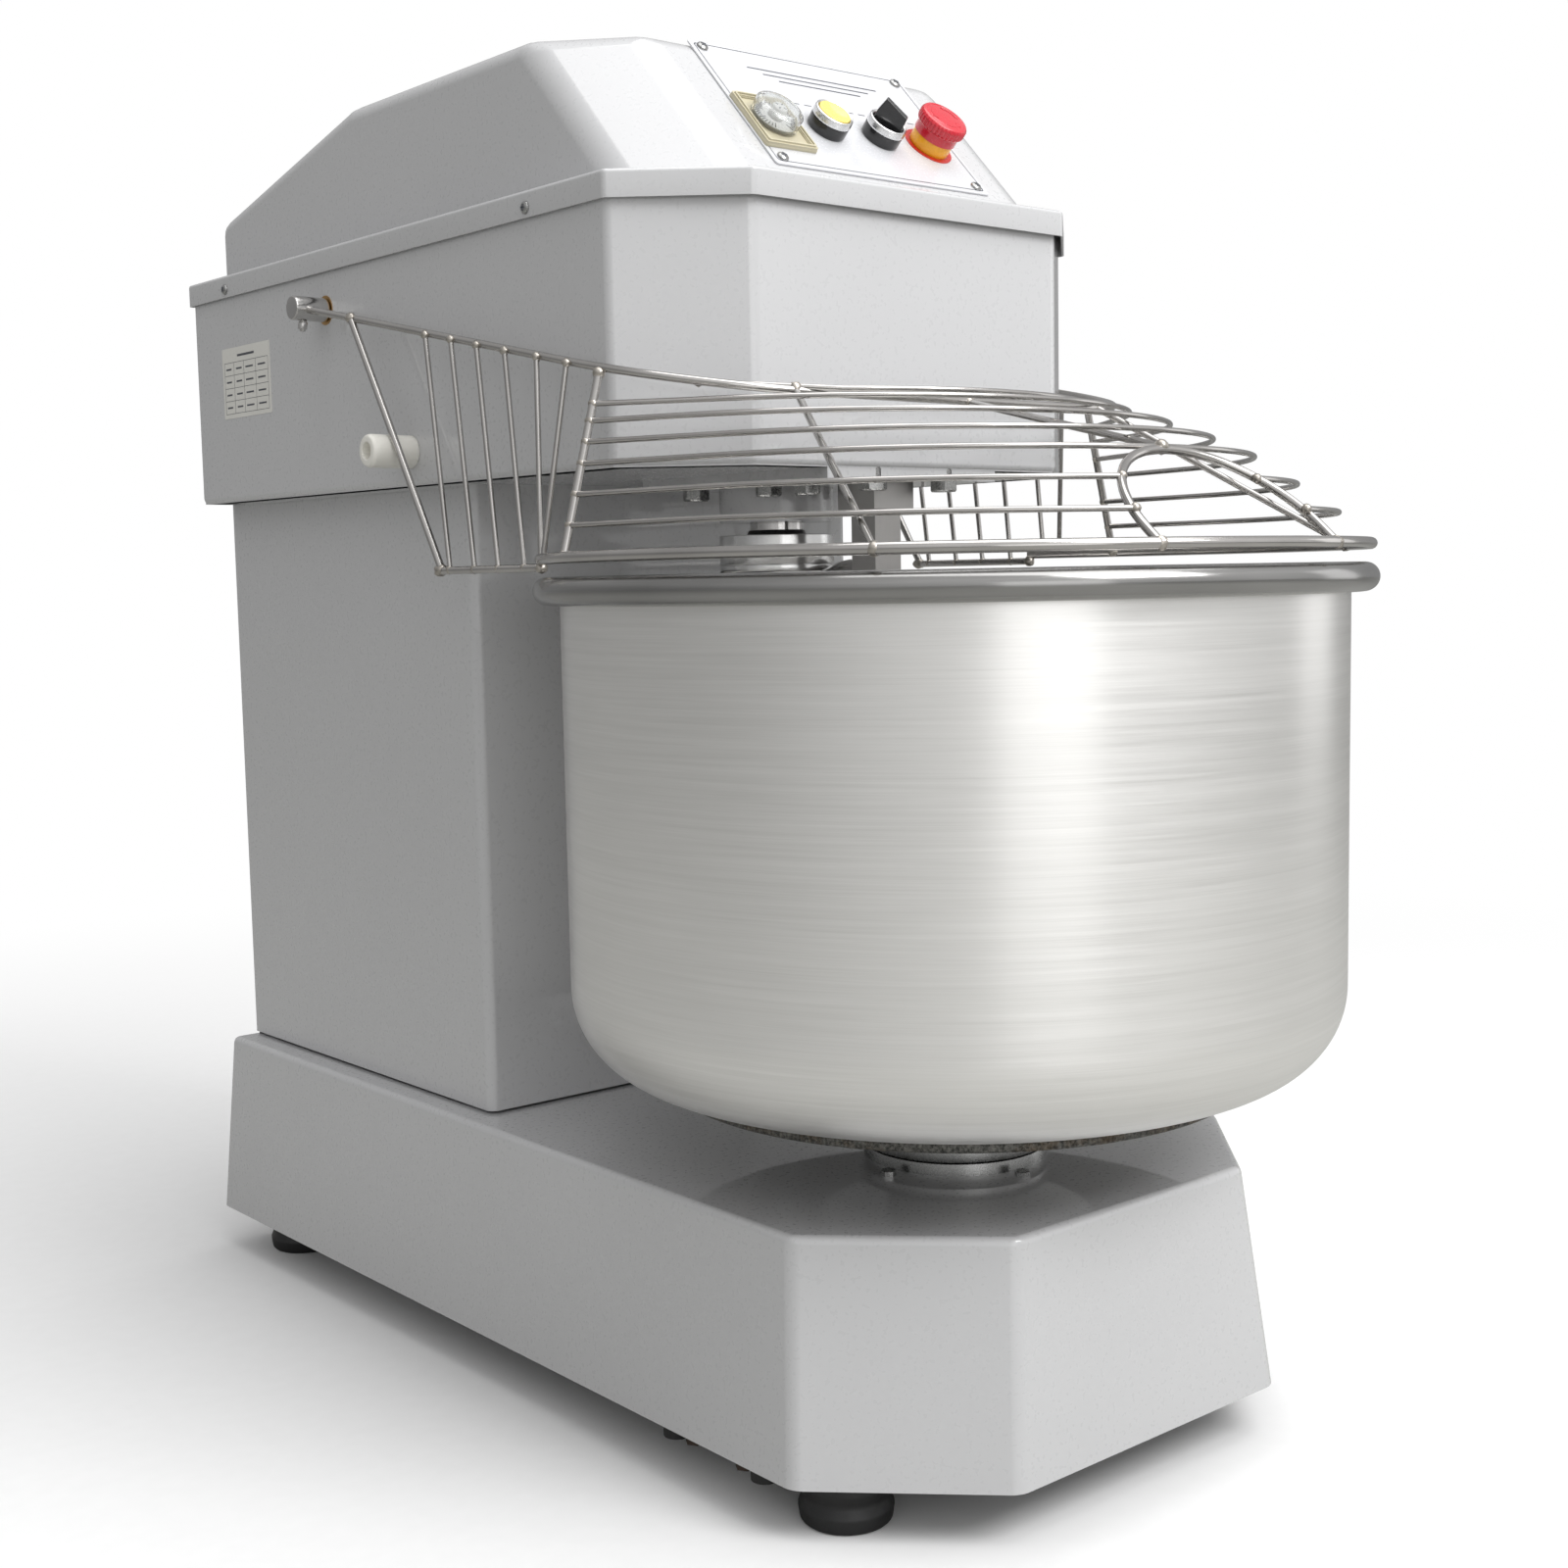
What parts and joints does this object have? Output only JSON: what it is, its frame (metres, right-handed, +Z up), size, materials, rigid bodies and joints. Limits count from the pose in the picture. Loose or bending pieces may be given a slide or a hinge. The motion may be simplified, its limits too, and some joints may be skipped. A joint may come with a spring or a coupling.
{
  "type": "spiral dough mixer",
  "caption": "Floor-standing spiral dough mixer: turning stainless bowl, spiral hook and breaker bar, hinged wire guard, painted steel column and head with a control panel.",
  "frame": {"origin": "on the floor, below the middle of the machine's depth and width", "axes": "+Z up, -Y towards the bowl and the person who uses it, +X to the right of a person who stands in front and faces the machine"},
  "size_m": [0.5999, 1.054, 1.0211],
  "materials": {
    "white_paint": "gloss",
    "housing_paint": "gloss",
    "frame_steel": "matte",
    "zinc_plate": "satin",
    "black_rubber": "matte",
    "brown_heads": "matte",
    "bearing_steel": "polished",
    "bolt_steel": "satin",
    "polished_steel": "polished",
    "brushed_stainless": "brushed",
    "raw_steel": "rough",
    "drive_steel": "oiled",
    "bearing_units": "gloss",
    "motor_paint": "satin",
    "control_sheet": "satin",
    "label_film": "satin",
    "beige_plastic": "satin",
    "dial_plastic": "gloss",
    "black_plastic": "gloss",
    "orange_plastic": "gloss",
    "red_label": "gloss",
    "red_plastic": "gloss",
    "yellow_plastic": "gloss",
    "box_paint": "matte",
    "switch_plastic": "matte",
    "white_nylon": "satin",
    "bronze": "satin"
  },
  "bodies": {
    "machine": {"base_shell": "white_paint", "base_frame": "frame_steel", "rubber_feet": "black_rubber", "crossbeam": "zinc_plate", "crossbeam_buffers": "black_rubber", "crossbeam_bolts": "brown_heads", "bowl_housing": "frame_steel", "bowl_bearings": "bearing_steel", "bowl_seal_ring": "polished_steel", "column_shell": "white_paint", "column_frame": "frame_steel", "rear_cover": "white_paint", "head_shell": "white_paint", "head_floor": "white_paint", "tool_plate": "white_paint", "top_cover": "white_paint", "sheet_screws": "bolt_steel", "control_plate": "control_sheet", "rating_label": "label_film", "timer_body": "beige_plastic", "operator_bases": "black_plastic", "operator_bezels": "polished_steel", "estop_collar": "orange_plastic", "estop_label": "red_label", "spiral_housing": "housing_paint", "spiral_bearings": "bearing_steel", "breaker_bar": "brushed_stainless", "hex_bolts": "bolt_steel", "motor_housing": "motor_paint", "drive_belts": "black_rubber", "drive_chains": "drive_steel", "flange_bearings": "bearing_units", "electrical_box": "box_paint", "guard_switch": "switch_plastic", "guard_bumpers": "white_nylon", "guard_bushes": "bronze", "cable_gland": "black_plastic"},
    "bowl": {"bowl": "brushed_stainless", "turntable": "raw_steel", "turntable_bolts": "bolt_steel", "bowl_shaft": "polished_steel", "bowl_sprocket": "drive_steel"},
    "spiral": {"spiral_hook": "polished_steel", "spiral_flange": "polished_steel", "spiral_shaft": "polished_steel", "spiral_sprocket": "drive_steel"},
    "lay": {"lay_shaft": "drive_steel", "lay_pulley": "drive_steel"},
    "jack": {"jack_shaft": "drive_steel"},
    "motor_rotor": {"motor_rotor": "polished_steel", "motor_pulley": "drive_steel"},
    "guard": {"guard_frame": "polished_steel", "guard_cage": "polished_steel", "guard_pivots": "polished_steel", "guard_shaft": "polished_steel"},
    "start": {"start_button": "yellow_plastic"},
    "estop_slider": {"estop_stem": "red_plastic"},
    "estop": {"estop_head": "red_plastic"},
    "selector": {"selector_knob": "black_plastic"},
    "timer": {"timer_dial": "dial_plastic"}
  },
  "joints": [
    {"name": "bowl_spin", "type": "hinge", "parent": "machine", "child": "bowl", "pos_m": [0, -0.227, 0.267], "axis": [0, 0, 1], "continuous": true},
    {"name": "spiral_spin", "type": "hinge", "parent": "machine", "child": "spiral", "pos_m": [0, -0.034, 0.66], "axis": [0, 0, 1], "continuous": true},
    {"name": "lay_spin", "type": "hinge", "parent": "machine", "child": "lay", "pos_m": [0, 0.2, 0.7], "axis": [0, 0, 1], "continuous": true},
    {"name": "jack_spin", "type": "hinge", "parent": "machine", "child": "jack", "pos_m": [0, 0.04, 0.14], "axis": [0, 0, 1], "continuous": true},
    {"name": "motor_spin", "type": "hinge", "parent": "machine", "child": "motor_rotor", "pos_m": [0, 0.395, 0.6], "axis": [0, 0, 1], "continuous": true},
    {"name": "guard_lift", "type": "hinge", "parent": "machine", "child": "guard", "pos_m": [0, 0.2698, 0.8535], "axis": [-1, 0, 0], "range_deg": [0, 75]},
    {"name": "start_press", "type": "slide", "parent": "machine", "child": "start", "axis": [0, 0.7254, -0.6884], "range_m": [0, 0.004], "stiffness_N_per_m": 300},
    {"name": "estop_press", "type": "slide", "parent": "machine", "child": "estop_slider", "axis": [0, 0.7254, -0.6884], "range_m": [0, 0.005]},
    {"name": "estop_twist", "type": "hinge", "parent": "estop_slider", "child": "estop", "pos_m": [0.0815, -0.14066, 0.96779], "axis": [0, 0.7254, -0.6884], "range_deg": [0, 40], "stiffness_Nm_per_rad": 0.03},
    {"name": "selector_turn", "type": "hinge", "parent": "machine", "child": "selector", "pos_m": [0.03, -0.13341, 0.9609], "axis": [0, 0.7254, -0.6884], "range_deg": [0, 90]},
    {"name": "timer_turn", "type": "hinge", "parent": "machine", "child": "timer", "pos_m": [-0.078, -0.13616, 0.958], "axis": [0, 0.7254, -0.6884], "range_deg": [0, 300]}
  ],
  "couplings": [
    {"joint": "jack_spin", "follows": "bowl_spin", "ratio": 6},
    {"joint": "lay_spin", "follows": "bowl_spin", "ratio": 24},
    {"joint": "spiral_spin", "follows": "bowl_spin", "ratio": 9.9512},
    {"joint": "motor_spin", "follows": "bowl_spin", "ratio": 72}
  ]
}
